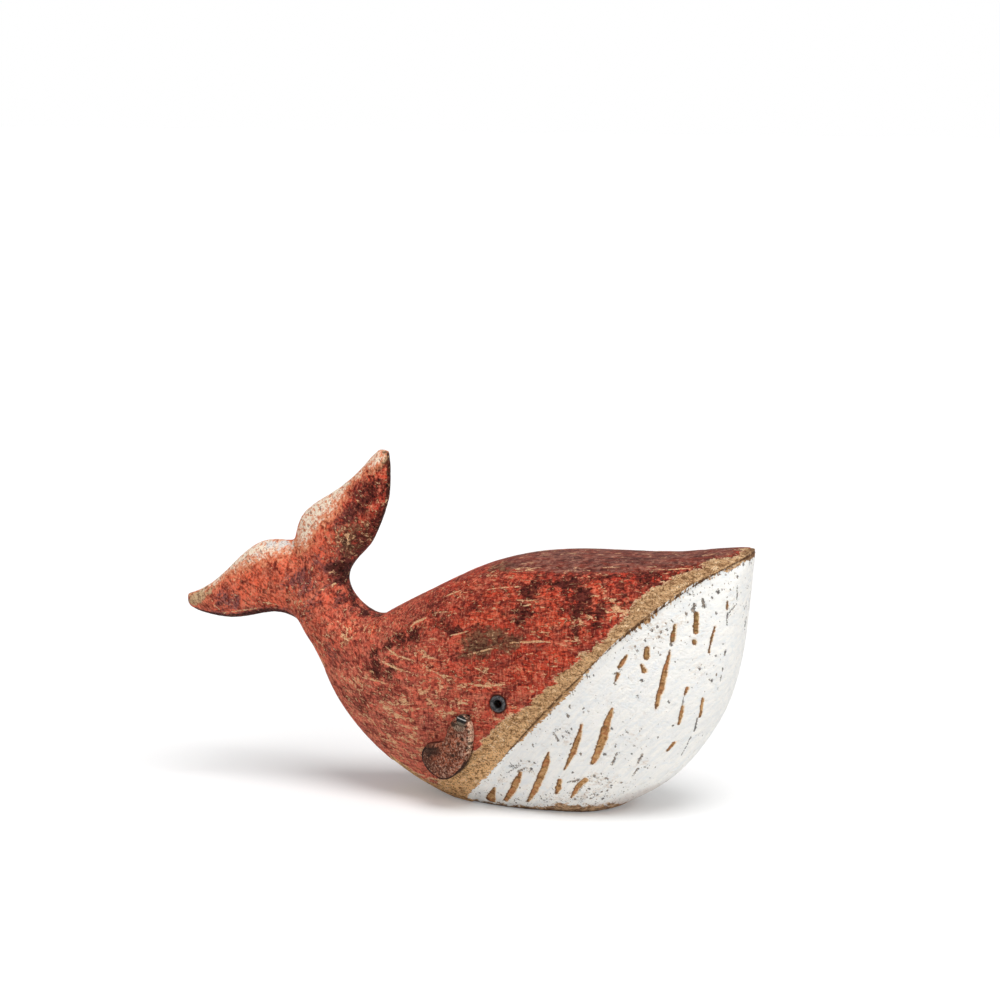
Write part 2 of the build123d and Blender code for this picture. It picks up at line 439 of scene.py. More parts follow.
# Narrower nicks that dirt has darkened: pixels with their widths, or with one width at the end
NICKS = [
    [(694.5, 605, 4), (692.5, 611, 3), (697, 613, 2.5)], [(702.5, 599, 2.2), (704, 606, 4)],
    [(733, 566), (731.5, 571), 1.8], [(739, 563.5), (738, 569), 1.8],
    [(744.5, 562), (743.5, 567), 1.6], [(750, 560.5), (750.2, 565), 1.8],
    [(727, 569), (726, 573), 1.6], [(721, 571.5), (719, 576), 1.6], [(713, 575), (711.5, 579), 1.6],
    [(738, 587, 2), (737.5, 600, 2)], [(737.5, 603.5), (729, 613.5), 2],
    [(728, 613, 1.8), (727.3, 625, 1.8)], [(748, 585), (748, 590), 1.8],
    [(747, 600, 1.4), (746.5, 609, 1.6)], [(746, 618), (745.5, 630), 2],
    [(726, 650), (725, 656), 2.8], [(723, 668), (723, 672), 2], [(721.5, 675), (721, 682), 2.2],
    [(697.5, 721, 1.8), (694.5, 735, 1.8)], [(691, 741, 1.4), (682, 760, 1.2)],
    [(642.5, 758.5, 3.2), (638, 767, 2.6)], [(638, 773.5, 2.8), (633, 780, 2)],
    [(617, 755, 2), (612, 767.5, 3)], [(567, 783, 1.5), (579, 780.5, 3)],
    [(585, 784, 1.2), (577, 793, 1.6)], [(518, 772, 3), (526, 768, 1.5)],
    [(507, 773), (521, 765), 1.6], [(508, 767), (517, 766), 2], [(544, 758), (551, 757), 2],
    [(554, 730), (561, 730), 1.6], [(553, 733, 2), (558, 741, 2.6)], [(671, 642, 2.4), (671, 645, 3)],
    [(660, 690, 1.6), (656, 697, 2)], [(684, 697), (682, 712), 1.4], [(618, 668), (622, 672), 2],
    [(613, 674), (620, 673), 2], [(614.5, 684, 2.4)], [(633, 618), (640, 616), 1.6],
    [(647, 614), (655, 610), 2],
]

# Small pits, each a pixel and its width
PITS = [
    (567.5, 716, 3.4), (588, 712, 2), (637.5, 697, 2.6), (626.7, 733, 2.6), (612, 729, 2),
    (641.7, 681, 2.6), (634, 748, 2), (669, 702, 2), (700, 669, 2.4), (712, 681, 2.6), (686, 614, 3),
    (716, 613, 2.2), (718, 592, 3.2), (712.5, 598, 2), (693.5, 595, 2), (716, 656, 1.8),
    (729, 583, 1.8), (738, 577, 2.4), (707.5, 674, 1.8), (647, 625, 2.2), (652, 630, 2.4),
    (657, 627, 2), (661, 632, 2.4), (666, 624, 2), (659, 637, 2), (667, 630, 1.8), (672, 621, 2),
    (645, 641, 1.8), (654, 648, 2), (637, 651, 1.8), (604.5, 756, 3), (606.7, 781.7, 2.8),
    (601, 776, 2), (573, 773, 2), (589, 790, 2.4), (594, 796, 2.2), (611, 789, 2), (598, 785, 2),
    (534, 763, 2), (529, 762, 2.2), (531, 769, 1.8), (568, 733, 2.4), (563, 737, 1.8),
    (571, 729, 1.8), (645, 772, 1.8), (632, 757, 1.8), (658, 740, 1.6), (673, 728, 1.8),
    (591, 800, 3), (581, 802, 2.4), (603, 801, 2.6), (551, 800, 2.2), (541, 799, 2), (518, 800, 2.2),
    (703, 740, 1.6),
]

# Thin pale scratches through the red paint: pixels, then width
SCRATCHES = [
    [(383.7, 644.7), (390, 651.3), (397.5, 655.8), (413.3, 660.8), (418, 663), 2],
    [(375.8, 657), (385, 663.3), (395, 668.3), (413.3, 673.7), 2.2],
    [(361.7, 677.5), (373.3, 680), (391.7, 685.8), 2],
    [(410, 627), (414.2, 622.5), (426.7, 617), 3.2],
    [(430, 615.3), (435.8, 612.5), (453.3, 611.3), 1.6],
    [(418, 658.5), (425, 656.5), (438.3, 659.7), 2.2],
    [(423.3, 670), (431.7, 670.8), (440, 675.3), (452, 677), 2],
    [(441.7, 597.5), (448.3, 594.7), (462.5, 589.2), 2], [(456.7, 598.3), (460.8, 595), 1.6],
    [(485, 590), (495, 588), (512, 586.5), 1.8], [(507, 587), (524, 586), 1.6],
    [(448.3, 635.8), (456.7, 634.2), (470, 630.5), 1.8], [(448, 637), (447.5, 642), 1.4],
    [(461.7, 655.8), (473.3, 653.3), (486.7, 649.7), (500, 647.5), 1.8],
    [(504, 644), (513.3, 642.5), (535, 641.5), (556, 642), 2],
    [(465.8, 683.3), (473.3, 685.3), (486.7, 686.3), (505, 684.2), 2.6],
    [(473.3, 666.7), (483.3, 672.5), 2], [(456.7, 686.7), (463, 685.3), 1.6],
    [(449, 658), (446.7, 663), 1.6], [(362.5, 633.3), (365, 626.7), (369, 623.5), 1.8],
    [(379, 634), (380, 627), 1.6], [(346, 633), (349, 625), 1.4], [(322, 667), (345, 670), 1.8],
    [(330, 586), (337, 583), 2.2], [(327, 573), (336, 572), 1.8],
    [(389, 720), (402, 726), (415, 729), 1.8], [(394, 718), (403, 717), 2.2],
    [(400, 705), (413, 704), 2.2], [(405, 711), (425, 708), 1.6], [(380, 738), (400, 745), 1.8],
    [(370, 718), (376, 727), 1.6], [(366, 703), (371, 712), 1.4], [(440, 714), (455, 712), 2.2],
    [(456, 702), (468, 704), 2.4], [(489, 717), (505, 722), 1.6], [(522, 606), (532, 604), 1.8],
    [(514, 600), (536, 600), 1.6], [(560, 641), (578, 641), 1.4], [(596, 604), (604, 610), 1.6],
    [(590, 594), (600, 597), 1.4], [(511, 568), (543, 567), 1.8], [(600, 567), (622, 566.5), 1.4],
    [(640, 568.5), (669, 569), (702, 567.5), 1.6], [(505, 572), (540, 570), 1.4],
    [(560, 570), (590, 570), 1.4], [(211, 598), (214, 606), (221, 611), 1.8],
    [(222, 613), (240, 611), (262, 608), 1.8], [(262, 603), (276, 605), 1.8],
    [(286, 601), (300, 602), (308, 606), 1.6], [(320, 590), (329, 588), 1.6],
    [(318, 583), (327, 581), 1.4], [(336, 541), (341, 552), 1.4], [(345, 532), (350, 546), 1.4],
]

# Dark blooms of wear and dirt in the red paint: pixel, then radii along and across the grain
# in mm, and strength
STAINS = [
    (531, 590, 4.2, 3.6, 1.4), (520, 614, 3.6, 3.2, 1.2), (566, 583, 6, 2, 1), (584, 595, 3, 4, 1.1),
    (572, 588, 8, 4.4, 0.6), (577, 612, 5, 3.4, 1.1), (600, 630, 3, 2.5, 1),
    (598, 610, 3.5, 3.5, 0.9), (573, 632, 2.5, 3.5, 1), (556, 612, 3.5, 3, 0.5),
    (512, 607, 4, 7, 0.6), (476, 606, 3, 2, 0.7), (456, 628, 4, 1.8, 1.1), (438, 622, 4, 4, 0.5),
    (431, 604, 4, 2.6, 0.5), (413, 636, 4.4, 2.8, 1), (401, 638, 4, 3, 0.8),
    (388, 646, 3.4, 2.4, 1.1), (373, 652, 3, 3, 0.8), (373, 668, 3.4, 2.8, 1.2),
    (388, 667, 3.6, 2.8, 0.9), (474, 671, 7, 4, 0.4), (484, 627, 6, 2, 0.6), (470, 650, 8, 2, 0.5),
    (358, 700, 6, 4, 0.35), (382, 694, 5, 4, 0.4), (450, 680, 4, 2.5, 0.4), (620, 590, 5, 3, 0.6),
    (640, 580, 8, 2.6, 0.7), (610, 578, 8, 2, 0.6), (545, 575, 8, 2, 0.6),
]

# Purple and maroon blooms on the tail
TAIL_STAINS = [
    (371, 482, 3.5, 4, 0.85), (364, 494, 4.5, 4.5, 0.85), (354, 510, 4, 6, 0.9),
    (346, 522, 3, 6, 0.8), (379, 506, 3, 6, 0.5), (378, 522, 3, 6, 0.8), (368, 534, 5, 5, 0.8),
    (358, 548, 5, 5, 0.85), (344, 545, 4, 5, 0.7), (333, 564, 4, 3, 1.4), (345, 567, 3, 4, 1.3),
    (340, 582, 2.4, 3, 1.2), (352, 590, 3, 2, 1), (353, 606, 3, 2.6, 0.8), (365, 611, 3, 2.6, 1),
    (378, 612, 2.6, 3, 0.8), (318, 556, 4, 4, 0.7), (345, 558, 4, 4, 0.9), (293, 578, 3.4, 4, 0.9),
    (303, 584, 5, 4, 0.6), (236, 603, 5, 3, 0.9), (222, 600, 3, 2.6, 0.6), (228, 607, 5, 1.8, 0.7),
    (323, 590, 2, 3, 0.7), (340, 600, 3, 4, 0.8), (313, 606, 4, 6, 0.5), (336, 655, 5, 4, 0.5),
    (277.5, 546, 1.5, 1.5, 1.6), (381, 467, 1.6, 2, 1.6), (386, 480, 1.6, 5, 0.8),
]

# Painted shade, nearly black, in the hollows of the saddle and along the edges of the upper fluke
SHADES = [
    (334, 565, 3.5, 2.5, 0.9), (344, 570, 2.5, 3.5, 0.9), (341, 583, 2, 3, 0.7),
    (351, 603, 4, 1.5, 0.7), (368, 612, 5, 1.2, 0.7), (384, 450, 1.6, 1, 1), (389, 464, 1, 4, 0.7),
]

# Olive and grey-brown blooms
OLIVES = [
    (478, 645, 9, 4.5, 1), (502, 640, 8, 5, 0.9), (493, 652, 8, 2.5, 0.8), (489, 639, 9, 4, 1),
    (466, 652, 4, 2.5, 0.8), (350, 540, 6, 5, 0.9), (358, 528, 4, 5, 0.7), (382, 458, 2, 4, 0.7),
    (500, 566, 9, 1.6, 0.8),
]

# Places where the paint is rubbed thin and chipped
WORN = [
    (422.5, 691.7, 2.2, 1.5, 1.1), (430.8, 704, 2.6, 2.6, 0.9), (448, 714, 4, 1.4, 0.9),
    (458, 705, 3, 1.6, 0.8), (403, 705, 4, 1.8, 0.7), (408, 735, 3, 2.6, 0.8),
    (400, 718, 3, 1.2, 0.8), (416, 743, 2, 2.6, 0.7), (388, 732, 1.6, 3.6, 0.6),
    (481.7, 670, 2.6, 2.6, 0.9), (487, 685, 6, 1.4, 1), (425, 670, 4, 1.4, 0.8),
    (445, 684, 4, 1.6, 0.7), (436, 689, 5, 1.4, 0.9), (497, 727, 2, 3, 0.6), (473, 715, 1.8, 2, 0.6),
    (508, 716, 3, 2.4, 0.6), (358, 676, 2.4, 2.6, 0.8), (346, 638, 2, 3, 0.6),
    (422.5, 653, 1.6, 1.6, 0.8), (418, 652, 1.4, 1.4, 0.8), (443, 643, 1.6, 3.6, 0.5),
    (517, 602, 3, 1.4, 0.7), (350, 627, 2, 3, 0.6), (366, 628, 2, 3, 0.6), (456.7, 595, 3, 1.2, 0.8),
    (321, 659, 2.6, 3, 0.6), (350, 682, 4, 2, 0.7), (385, 709, 4, 2, 0.7), (362, 717, 3, 1.4, 0.6),
    (392, 744, 3, 1.6, 0.7), (469, 688, 5, 1.6, 0.7), (527, 692, 3.6, 2, 0.6),
    (508, 732, 2.6, 2.6, 0.5), (523, 609, 3, 1.8, 0.5), (538, 636, 5, 1, 0.6), (569, 640, 5, 1, 0.5),
    (494, 567, 5, 1.2, 0.7), (607, 598, 1.4, 1.2, 1.4), (615, 605, 1.4, 1.6, 1.5),
    (622, 609, 1.6, 1.4, 1.5), (610, 618, 1.4, 1.8, 1.4), (581, 624, 1.4, 1.6, 1.3),
    (572, 623, 1.2, 1.4, 1.2), (572, 641, 2.6, 1, 1.3), (592, 620, 1.8, 1.6, 1.1),
    (300, 606, 9, 1.6, 0.6), (320, 640, 2.4, 6, 0.5), (345, 540, 5, 5, 0.5), (372, 506, 3, 6, 0.4),
    (272, 605, 4, 1.6, 0.5),
]

# Clear vermilion patches of the red paint
BRIGHTS = [
    (325, 530, 6, 4, 1), (318, 550, 5, 4, 0.8), (375, 476, 3, 4, 0.9), (365, 512, 3, 3, 0.5),
    (250, 578, 9, 7, 1.2), (272, 572, 9, 8, 1.2), (285, 562, 6, 5, 1), (270, 594, 8, 4, 0.7),
    (373, 630, 3.5, 3.5, 1), (352, 627, 4, 4, 0.7), (335, 600, 5, 5, 0.5), (432, 664, 4, 3, 0.7),
    (478, 618, 6, 3, 0.9), (500, 614, 3, 3, 0.9), (460, 640, 3, 2, 0.4), (548, 625, 6, 4, 0.9),
    (543, 600, 6, 3, 0.6), (505, 600, 5, 3, 0.5), (600, 590, 3, 3, 1), (586, 636, 3, 3, 0.7),
    (613, 612, 4, 3, 0.6), (630, 596, 5, 2.5, 0.5), (560, 655, 5, 4, 0.5), (515, 575, 8, 2, 0.5),
    (470, 588, 6, 3, 0.5), (525, 675, 6, 4, 0.4), (395, 620, 5, 2, 0.6),
]

# Yellowed tips of the flukes
OCHRES = [
    (193, 597, 3.6, 3.4, 1.15), (205, 590, 3.5, 2, 0.8), (387, 452, 2, 1.8, 0.9),
    (385, 462, 1.6, 3, 0.7), (322, 642, 3, 6, 0.35),
]

# The ash-grey rim along the top edge of the lower fluke, partly worn paint and partly a painted highlight
ASHES_AND_HIGHLIGHTS = [
    (283, 544, 3.5, 2, 1.2), (268, 546, 3.5, 2.5, 1), (254, 552, 3, 2.5, 0.6),
]

# Where the white paint is most pitted
PITTED = [
    (658, 628, 4.5, 4.5, 1), (640, 645, 6, 4, 0.6), (600, 785, 7, 3.5, 1), (575, 800, 12, 2, 1),
    (530, 766, 4, 3, 0.8), (500, 780, 4, 3, 0.6), (560, 738, 4, 3, 0.7), (612, 750, 4, 4, 0.5),
    (640, 770, 5, 4, 0.6), (685, 620, 4, 8, 0.5), (700, 670, 6, 6, 0.4), (735, 600, 4, 8, 0.4),
    (600, 700, 6, 5, 0.3), (633, 738, 5, 5, 0.4),
]

# Lower edge of the red paint, in pixels from the snout to the belly
RED_EDGE = [
    (749, 551), (737, 556), (725, 560), (714, 562), (700, 568), (684, 569), (674, 576), (672, 582),
    (661, 585), (652, 588), (645, 597), (636, 604), (618, 623), (600, 645), (576, 661), (546, 690),
    (522, 711), (498, 722), (489, 738), (477, 748), (466, 760), (452, 775), (442, 782),
]

# Upper edge of the white paint, in pixels from the snout to the belly
WHITE_EDGE = [
    (756, 558), (750, 561), (730, 570), (717, 575), (705, 583), (695, 587), (683, 597), (667, 607),
    (653, 618), (640, 630), (620, 643), (600, 660), (573, 690), (558, 705), (545, 718), (532, 731),
    (513, 748), (495, 768), (485, 778), (475, 788), (468, 797),
]

# Edges of the flukes where the red is rubbed pale, with a painted highlight on their lit faces: pixels,
# each with the width there
PALE_EDGES = [
    [
        (302, 538, 12), (304, 524, 24), (311, 512, 30), (328, 498, 26), (347, 480, 18),
        (365, 463, 16), (376, 453, 18),
    ],
    [
        (197, 592, 6), (212, 581, 14), (228, 567, 18), (246, 553, 22), (265, 546, 22),
        (280, 545, 16), (288, 546, 8),
    ],
]


def warped(grain):
    """Grain coordinates pushed about by noise, which gives the blooms uneven outlines."""
    push = [fractal(grain, 5, 71 + 5 * axis, 3) - 0.5 for axis in range(3)]
    return grain + np.stack(push, 1) * (9, 7, 7)


def blooms(grain, spots, seed=3):
    """Soft spots on the surface round pixels of the photograph, repeated on the other side."""
    rng = random.Random(seed)
    field = np.zeros(len(grain))
    for x, y, along, across, strength in spots:
        place = on_wood(x, y)
        for centre in (place, other_side(place, (rng.uniform(-4, 4), rng.uniform(-3, 3)))):
            gap = (grain - grain_coordinates(centre[None])[0]) / (along, across, along + across)
            field = np.maximum(field, strength * np.exp(-(gap**2).sum(1)))
    return field


# The block's form and the fields that its material reads

# Where the paint has worn through: past this x in mm on the snout, and on slopes that face down
WORN_SNOUT_X = 97.8
WORN_KEEL_SLOPE = 0.66
# How far dirt round the eyes and painted shade round the fins reach, and how much slimmer the bow is
# underneath, in mm
DIRT_AND_SHADE_REACH = 1.5
BOW_LIFT = 1.5
# Below this height in mm the white paint ends at the mouth line itself
LIP_FOOT = 1.5
# How far a gouge's painted highlight and painted shade lie off its middle, in mm
HOLLOW_SHIFT = (0.45, 0, 0.15)


def rounded(obj):
    """The block's points, with the fork of the flukes and the foot of the seam smoothed."""
    edges = np.empty(len(obj.data.edges) * 2, int)
    obj.data.edges.foreach_get("vertices", edges)
    co = coordinates(obj)
    x, z = co[:, 0], co[:, 2]
    fork = ramp(x, -72, -64) * ramp(x, -40, -46) * ramp(z, 50, 56) * ramp(z, 94, 86)
    seam_foot = ramp(np.linalg.norm(co - np.array(SEAM_BOTTOM) / MM, axis=1), 14, 5)
    return softened(co, edges.reshape(-1, 2), np.maximum(fork, seam_foot), rounds=60)


def edge_line(pixels):
    """A smooth line of the side view through pixels on the wood."""
    return smooth_line(side_view(np.array([on_wood(*pixel) for pixel in pixels])))


def bare_distance(co, n, grain):
    """Millimetres from the wood that is bare below the red paint, on the snout and on the keel."""
    _, below = along_and_off(co, edge_line(RED_EDGE))
    edge = -below + (fractal(grain, (4, 2.4, 4), 31, 4) - 0.5) * 4
    snout = WORN_SNOUT_X - co[:, 0] + (fractal(grain, 3, 33, 3) - 0.5) * 5
    keel = (n[:, 2] + WORN_KEEL_SLOPE) * 14 + (fractal(grain, (9, 4, 6), 32, 3) - 0.5) * 4
    return np.minimum(np.minimum(edge, snout), keel + 30 * ramp(co[:, 0], -22, -30))


def lip_distance(co, mouth):
    """Millimetres above the white paint's own edge, which runs a little off the step in the wood."""
    edge = drawn_on(edge_line(WHITE_EDGE), stride=12, before=6, after=6, pace=1)
    _, below = along_and_off(co, edge)
    return np.where(co[:, 2] > LIP_FOOT, -below, mouth)


def dirt_and_shade_round_trim(co):
    """Dirt against the eyes, and painted shade against the lower parts of the fins, 1 where they touch."""
    halo = np.zeros(len(co))
    for node in ("eye_right", "eye_left", "fin_right", "fin_left"):
        lowest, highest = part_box(node)
        lo, hi = np.array(lowest) / MM - DIRT_AND_SHADE_REACH, np.array(highest) / MM + DIRT_AND_SHADE_REACH
        tree = tree_of(node)
        for index in np.flatnonzero(((co > lo) & (co < hi)).all(1)):
            gap = tree.find_nearest(Vector(co[index]) * MM)[3] / MM
            reach = ramp(co[index, 2], 27, 21) if node.startswith("fin") else 1
            halo[index] = max(halo[index], (1 - gap / DIRT_AND_SHADE_REACH) * reach)
    return halo


BLOOMS = {"olive": OLIVES, "worn": WORN, "bright": BRIGHTS, "ochre": OCHRES, "ash": ASHES_AND_HIGHLIGHTS, "pitted": PITTED}


def painted_fields(co, n, grain):
    """What each point of the block holds: distances to the paint's edges and marks, and soft blooms."""
    x, y, z = co.T
    mouth_along, below_mouth = along_and_off(co, mouth_line)
    mouth = -below_mouth
    gouges = marks(GOUGES, seed=21)
    nicks = marks(NICKS, seed=25) + marks([[pit] for pit in PITS], seed=26)
    scratches = marks(SCRATCHES, seed=22)
    rubs_and_highlights = marks(PALE_EDGES, seed=23, drop=0, shift=1)
    # In whole millimetres, so the rubbed edges and their painted highlight fade in fine steps
    pale = np.trunc(distance_to_marks(co, rubs_and_highlights, reach=9, ragged=0))
    # Fluke faces that get painted shade: the upper fluke's front edge, and the undersides of the flukes
    leading = ramp(n[:, 0], 0.80, 0.96) * ramp(z, 66, 74) * ramp(x, -22, -24)
    beneath = ramp(-n[:, 2], 0.3, 0.85) * ramp(x, -48, -56)
    fade = np.clip(0.5 - 0.012 * x - 0.012 * (z - 40), 0, 1)
    uneven_grain = warped(grain)
    # Dark blooms: those placed on the body and tail, a darker upper body, and painted shade along and under
    # the flukes
    stains_and_shade = [
        blooms(uneven_grain, STAINS),
        blooms(uneven_grain, TAIL_STAINS),
        0.42 * ramp(x, -5, 45) * ramp(z, 45, 75),
        0.5 * leading,
        0.7 * beneath,
    ]
    return {
        "grain": grain,
        "brush": np.stack([mouth_along, mouth, y], 1),
        "mouth": mouth,
        "lip": lip_distance(co, mouth),
        "bare": bare_distance(co, n, grain),
        "gouge": distance_to_marks(co, gouges, ragged=0.3),
        "hollow": distance_to_marks(co - HOLLOW_SHIFT, gouges, ragged=0.3),
        "nick": distance_to_marks(co, nicks, ragged=0.25, seed=8),
        "scratch": distance_to_marks(co, scratches, ragged=0.15),
        "stain": np.max(stains_and_shade, axis=0),
        **{name: blooms(uneven_grain, spots) for name, spots in BLOOMS.items()},
        "pale": ramp(pale, 6, -4) * ramp(x, -24, -27),
        "top": ramp(n[:, 2], 0.83, 0.97) * ramp(x, -5, 30) * ramp(mouth, 2, 6),
        "fade": fade * (1 - 0.3 * ramp(z, 42, 60) * ramp(x, -20, -36)),
        "halo": dirt_and_shade_round_trim(co),
        "shaded": np.max([leading, ramp(beneath, 0.6, 1), blooms(uneven_grain, SHADES)], axis=0),
        # Faces under the jaw, which get painted shade
        "under": ramp(-n[:, 2], 0.66, 0.84) * ramp(x, 25, 50),
        "tailward": ramp(x, -30, -56),
        "rim": np.exp(-(((x - 48) / 15) ** 4)),
    }


def cut_depth(co, fields):
    """Millimetres cut away at each point."""
    grain, mouth = fields["grain"], fields["mouth"]
    undulation = 0.35 * fractal(grain, (16, 9, 12), 41, 2)
    furrows = 0.12 * np.abs(fractal(grain, (9, 1.6, 3), 42, 3) - 0.5) * 2
    chiselled = 0.6 * ramp(-fields["gouge"], -0.2, 0.9) + 0.3 * ramp(-fields["nick"], -0.15, 0.4)
    scratched = 0.12 * ramp(-fields["scratch"], -0.1, 0.4)
    bare_band = ramp(-fields["bare"], -0.3, 0.3) * ramp(mouth, -0.2, 0.3)
    splintered = bare_band * (0.12 + 0.2 * fractal(co, (2, 2, 1.2), 43, 2))
    flaked = 0.06 * ramp(fractal(grain, (5, 2.6, 5), 44, 3), 0.56, 0.66) * ramp(mouth, 3, 8)
    return undulation + furrows + chiselled + scratched + splintered + flaked


def carve(obj):
    """Gives the block its tool marks and worn paint, and returns the names of its fields."""
    co = rounded(obj)
    write_coordinates(obj, co)
    n = normals(obj)
    fields = painted_fields(co, n, grain_coordinates(co))
    # The underside of the bow is slimmer in the photograph
    lift = ramp(-n[:, 2], 0.1, 0.55) * ramp(co[:, 0], 46, 66) * ramp(co[:, 0], 98, 84)
    co = co + np.outer(lift, (0, 0, BOW_LIFT))
    write_coordinates(obj, co - n * cut_depth(co, fields)[:, None])
    write_attributes(obj, fields)
    return list(fields)


# Shader nodes


def linear(colour):
    """A colour given as 0 to 255 on screen, as the shader wants it."""
    c = [v / 255 for v in colour]
    return tuple(v / 12.92 if v <= 0.04045 else ((v + 0.055) / 1.055) ** 2.4 for v in c) + (1,)


def plug(socket, value):
    """Feeds an input with another node's value, a number or a vector, or a colour.

    Three numbers make a colour from 0 to 255 on screen, and four are taken as the shader's own.
    """
    if isinstance(value, Value):
        value.tree.links.new(value.socket, socket)
    elif socket.type == "RGBA" and len(value) == 3:
        socket.default_value = linear(value)
    else:
        socket.default_value = value


def new_node(tree, kind, inputs=None, **settings):
    """A node of a material or the world, with its settings and what feeds it."""
    node = tree.nodes.new("ShaderNode" + kind)
    for name, setting in settings.items():
        setattr(node, name, setting)
    for key, value in (inputs or {}).items():
        plug(node.inputs[key], value)
    return node


def cleared_tree(owner):
    owner.use_nodes = True
    owner.node_tree.nodes.clear()
    return owner.node_tree


class Value:
    """A node's output: the number, vector or colour at each point of a surface."""

    def __init__(self, node, output=0):
        self.tree = node.id_data
        self.socket = node.outputs[output]

    def into(self, kind, inputs, output=0, **settings):
        """The output of a new node, which this value or others feed."""
        return Value(new_node(self.tree, kind, inputs, **settings), output)

    def maths(self, operation, *others):
        return self.into("Math", dict(enumerate((self,) + others)), operation=operation)

    def __add__(self, other):
        return self.maths("ADD", other)

    def __sub__(self, other):
        return self.maths("SUBTRACT", other)

    def __mul__(self, other):
        return self.maths("MULTIPLY", other)

    def most(self, other):
        return self.maths("MAXIMUM", other)

    def step(self, lo, hi, end=1, start=0):
        """Smooth step from start where this value is lo to end where it is hi."""
        inputs = {0: self, 1: lo, 2: hi, 3: start, 4: end}
        return self.into("MapRange", inputs, interpolation_type="SMOOTHSTEP")

    def between(self, low, high):
        """The colour low where this value is 0, and high where it is 1."""
        return self.into("Mix", {0: self, 6: low, 7: high}, output=2, data_type="RGBA")

    def coats(self, *layers):
        """This colour under coats of others, each given as how dense it is and its colour."""
        colour = self
        for share, layer in layers:
            colour = share.between(colour, layer)
        return colour

    def part(self, axis):
        return self.into("SeparateXYZ", {0: self}, axis)

    def moved(self, by):
        return self.into("VectorMath", {0: self, 1: by}, operation="ADD")

    def scaled(self, factors):
        return self.into("VectorMath", {0: self, 1: factors}, operation="MULTIPLY")

    def in_units(self, size):
        """This place counted in a size in mm, one number or one per axis."""
        sizes = size if isinstance(size, tuple) else (size,) * 3
        return self.scaled(tuple(1 / s for s in sizes))

    def noise(self, size, detail=3, rough=0.55, warp=0, output="Fac"):
        """Noise from 0 to 1 at this place, with features of a size in mm."""
        inputs = {"Scale": 1, "Detail": detail, "Roughness": rough, "Distortion": warp}
        return self.into("TexNoise", {"Vector": self.in_units(size), **inputs}, output)

    def cells(self, size, output="Distance"):
        """Distance to the middle of a cell of a size in mm, or the cell's random colour."""
        return self.into("TexVoronoi", {"Vector": self.in_units(size), "Scale": 1}, output)

    def dots(self, size, share):
        """Small dots, one in each cell of a size in mm, of which only a share is there."""
        chance, girth = (self.cells(size, "Color").part(axis) for axis in (0, 1))
        gap = self.cells(size) + girth * 0.14
        return gap.step(0.33, 0.25) * (share - chance).step(-0.01, 0.01)

    def bump(self, distance, strength):
        return self.into("Bump", {"Strength": strength, "Distance": distance, "Height": self})


class Material:
    """A material of nodes, and the values that they read from a mesh."""

    def __init__(self, name):
        self.data = bpy.data.materials.new(name)
        self.tree = cleared_tree(self.data)
        self.place = self.value("TexCoord", "Object").scaled((1 / MM,) * 3)

    def value(self, kind, output, **settings):
        return Value(new_node(self.tree, kind, **settings), output)

    def attribute(self, name, output="Fac"):
        return self.value("Attribute", output, attribute_name=name)

    def finish(self, colour, roughness, normal, specular, metallic=0):
        looks = {"Base Color": colour, "Roughness": roughness, "Normal": normal}
        looks |= {"Specular IOR Level": specular, "Metallic": metallic}
        shader = new_node(self.tree, "BsdfPrincipled", looks)
        new_node(self.tree, "OutputMaterial", {0: Value(shader)})
        return self.data


# Painted wood of the body and tail: each function takes the wood's fields and noises


def bare_wood(wood):
    """The wood under the paint: streaked, warmer low down, with dirt in its pores."""
    tip = (wood.place.part(0) + wood.uneven * 14).step(97.5, 100.5)
    return wood.streak.between((222, 178, 130), (190, 146, 102)).coats(
        (wood.height.step(45, 12, 0.7), (238, 188, 132)),
        (wood.height.step(52, 76, 0.2), (150, 124, 98)),
        (wood.rust.step(0.46, 0.40, 0.85), (116, 80, 54)),
        (wood.fine.step(0.3, 0.05, 0.6), (112, 80, 52)),
        (wood.rust.step(0.56, 0.62), (236, 204, 164)),
        (wood.grit.step(0.54, 0.62) * 0.8, (104, 74, 48)),
        (tip * 0.7, (96, 66, 48)),
    )


def red_paint(wood):
    """Red paint, from vermilion to faded brick, lighter on its high spots and dark in its pores."""
    clouded = wood.tailward.step(0, 1, 0.6, start=0.25)
    in_pores = wood.fade.step(0, 1, 0.5, start=0.62)
    in_cracks = wood.tailward.step(0, 1, 0.4, start=0.6)
    return wood.patch.between((208, 68, 47), (166, 66, 53)).coats(
        (wood.fade * 0.85, wood.patch.between((230, 120, 97), (202, 111, 93))),
        (wood.bright * 0.8, wood.fine.between((222, 68, 42), (250, 122, 86))),
        (wood.tailward * 0.5, (246, 116, 82)),
        (wood.cloud.step(0.53, 0.66) * clouded, (240, 142, 108)),
        (wood.cloud.step(0.47, 0.34) * clouded, (118, 46, 40)),
        (wood.mottle.step(0.53, 0.38, 0.8), (98, 34, 32)),
        (wood.wear.step(0.53, 0.62, 0.65), wood.fade.between((224, 86, 58), (232, 136, 106))),
        (wood.fine.step(0.35, 0.05, in_pores), (54, 18, 15)),
        (wood.fine.step(0.75, 0.95, 0.4), (230, 140, 110)),
        (wood.craze.step(0.47, 0.36, in_cracks), (58, 20, 18)),
        (wood.craze.step(0.56, 0.64, 0.4), (234, 148, 118)),
    )


def back_paint(wood):
    """The darker paint on top of the back, with its long streaks."""
    return wood.streak.between((76, 48, 44), (140, 66, 52)).coats(
        (wood.mottle.step(0.48, 0.56, 0.6), (126, 88, 78)),
        (wood.wear.step(0.51, 0.58, 0.6), (176, 122, 106)),
        (wood.wear.step(0.46, 0.38, 0.9), (40, 20, 18)),
    )


